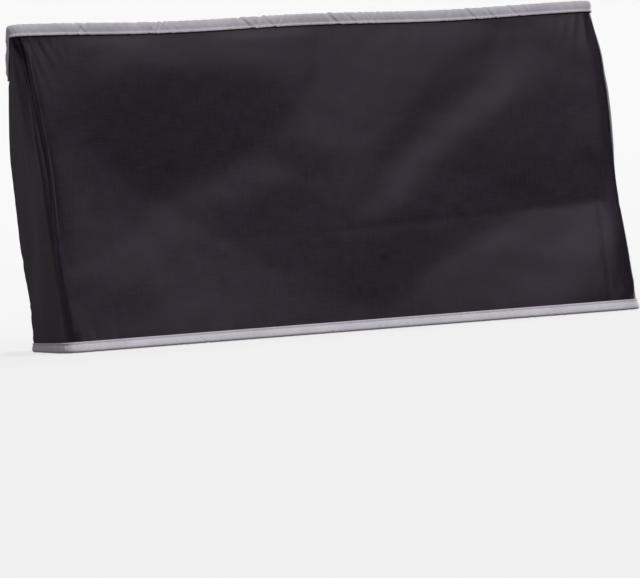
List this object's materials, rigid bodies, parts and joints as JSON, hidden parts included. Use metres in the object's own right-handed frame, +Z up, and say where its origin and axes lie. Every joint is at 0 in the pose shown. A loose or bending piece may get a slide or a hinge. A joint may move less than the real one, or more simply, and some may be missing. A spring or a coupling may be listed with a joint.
{
  "type": "printer dust cover",
  "caption": "Sewn cloth box, open below, that drops over a desktop printer: flat top, hanging skirt, tape-bound top seam and hem; the front lifts.",
  "frame": {"origin": "middle of the hem's outline, on the surface that the cover stands on", "axes": "+X along the front, to the right as seen from the front; +Y from the front to the back; +Z up"},
  "size_m": [0.4894, 0.3694, 0.255],
  "materials": {
    "nylon_cloth": "matte",
    "binding_tape": "matte",
    "grey_thread": "matte",
    "black_thread": "matte"
  },
  "bodies": {
    "back": {"back_panel": "nylon_cloth", "back_hem_binding": "binding_tape", "back_hem_stitch": "grey_thread", "left_seam_stitch": "black_thread", "right_seam_stitch": "black_thread"},
    "hood": {"top_panel": "nylon_cloth", "skirt_wrap": "nylon_cloth", "top_binding": "binding_tape", "top_stitch": "grey_thread", "hem_binding": "binding_tape", "hem_stitch": "grey_thread"}
  },
  "joints": [
    {"name": "front_lift", "type": "hinge", "parent": "back", "child": "hood", "pos_m": [0, 0.177, 0.246], "axis": [-1, 0, 0], "range_deg": [0, 33]}
  ]
}
